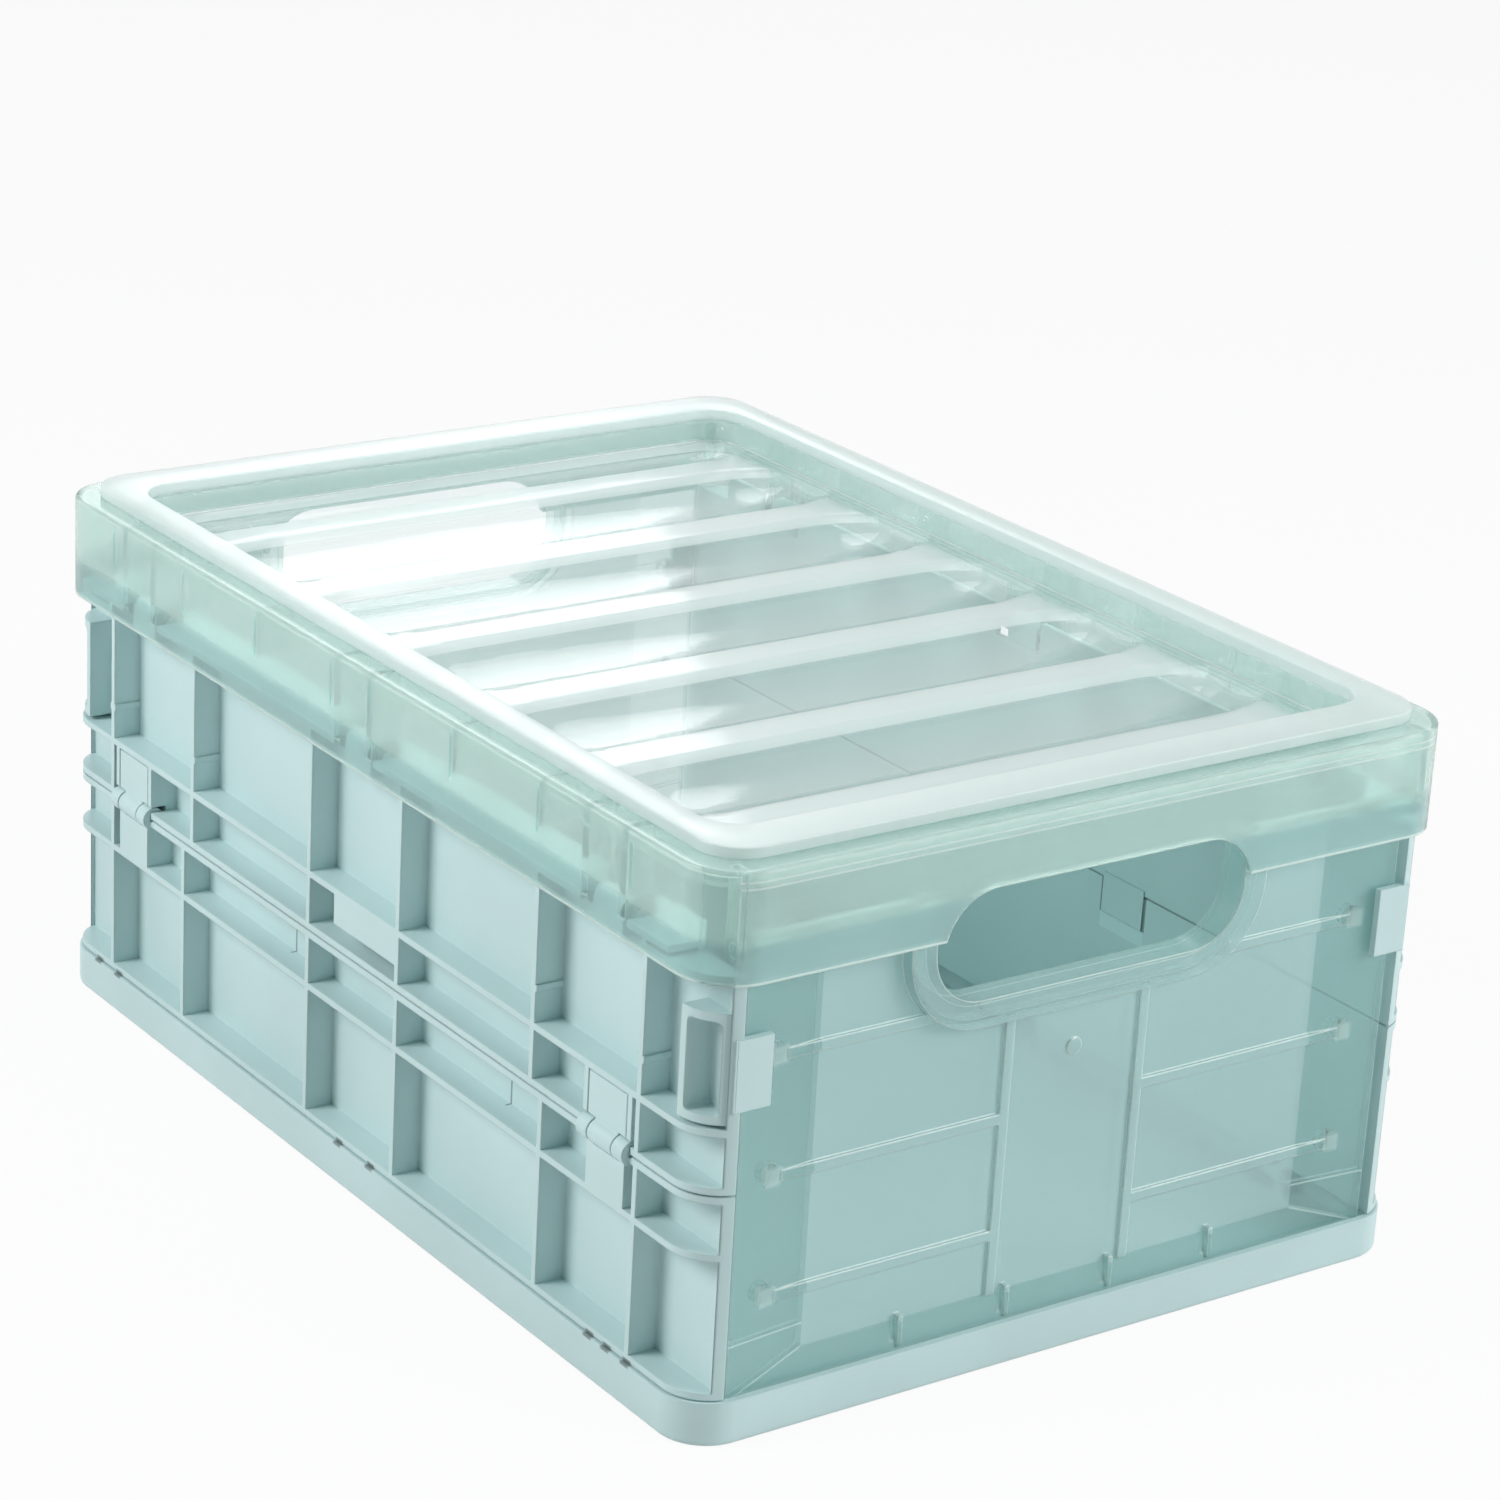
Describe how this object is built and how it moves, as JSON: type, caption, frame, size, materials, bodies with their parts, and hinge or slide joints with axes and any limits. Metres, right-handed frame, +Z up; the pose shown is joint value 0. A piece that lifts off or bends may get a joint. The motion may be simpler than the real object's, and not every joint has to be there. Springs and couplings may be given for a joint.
{
  "type": "chick brooder box",
  "caption": "Folding brooder box with ribbed opaque long sides hinged at mid height, translucent swing-in ends with hand holes, a deep rim and a clear corrugated lift-off lid.",
  "frame": {"origin": "middle of the base's underside, on the ground", "axes": "+X along the length towards the front end, +Y across the width towards the right side, +Z up"},
  "size_m": [0.36, 0.25, 0.1655],
  "materials": {
    "pale_plastic": "satin moulded polypropylene",
    "teal_plastic": "translucent glossy polypropylene",
    "clear_plastic": "clear glossy polystyrene"
  },
  "bodies": {
    "base": {"base_tray": "pale_plastic", "left_base_hinge_pins": "pale_plastic", "right_base_hinge_pins": "pale_plastic"},
    "left_lower": {"left_lower_panel": "pale_plastic", "left_fold_hinge_pins": "pale_plastic"},
    "left_upper": {"left_upper_panel": "pale_plastic", "left_front_hinge_clip": "pale_plastic", "left_back_hinge_clip": "pale_plastic"},
    "rim": {"top_rim": "teal_plastic", "left_top_hinge_pins": "pale_plastic", "right_top_hinge_pins": "pale_plastic"},
    "right_lower": {"right_lower_panel": "pale_plastic", "right_fold_hinge_pins": "pale_plastic"},
    "right_upper": {"right_upper_panel": "pale_plastic", "right_front_hinge_clip": "pale_plastic", "right_back_hinge_clip": "pale_plastic"},
    "front_end": {"front_end_panel": "teal_plastic", "front_end_pivot_pins": "teal_plastic"},
    "back_end": {"back_end_panel": "teal_plastic", "back_end_pivot_pins": "teal_plastic"},
    "lid": {"lid": "clear_plastic"}
  },
  "joints": [
    {"name": "side_fold", "type": "hinge", "parent": "base", "child": "left_lower", "pos_m": [0, -0.1175, 0.008], "axis": [-1, 0, 0], "range_deg": [0, 1.2]},
    {"name": "left_fold_hinge", "type": "hinge", "parent": "left_lower", "child": "left_upper", "pos_m": [0, -0.1215, 0.072], "axis": [-1, 0, 0], "range_deg": [-2.4, 0]},
    {"name": "left_top_hinge", "type": "hinge", "parent": "left_upper", "child": "rim", "pos_m": [0, -0.1175, 0.136], "axis": [-1, 0, 0], "range_deg": [0, 1.2]},
    {"name": "right_base_hinge", "type": "hinge", "parent": "base", "child": "right_lower", "pos_m": [0, 0.1175, 0.008], "axis": [1, 0, 0], "range_deg": [0, 1.2]},
    {"name": "right_fold_hinge", "type": "hinge", "parent": "right_lower", "child": "right_upper", "pos_m": [0, 0.1215, 0.072], "axis": [1, 0, 0], "range_deg": [-2.4, 0]},
    {"name": "front_end_swing", "type": "hinge", "parent": "rim", "child": "front_end", "pos_m": [0.1745, 0, 0.1395], "axis": [0, 1, 0], "range_deg": [0, 86]},
    {"name": "back_end_swing", "type": "hinge", "parent": "rim", "child": "back_end", "pos_m": [-0.1745, 0, 0.1395], "axis": [0, -1, 0], "range_deg": [0, 86]},
    {"name": "lid_lift", "type": "slide", "parent": "rim", "child": "lid", "axis": [0, 0, 1], "range_m": [0, 0.15]}
  ],
  "couplings": [
    {"joint": "left_fold_hinge", "follows": "side_fold", "ratio": -2},
    {"joint": "left_top_hinge", "follows": "side_fold", "ratio": 1},
    {"joint": "right_base_hinge", "follows": "side_fold", "ratio": 1},
    {"joint": "right_fold_hinge", "follows": "side_fold", "ratio": -2}
  ]
}
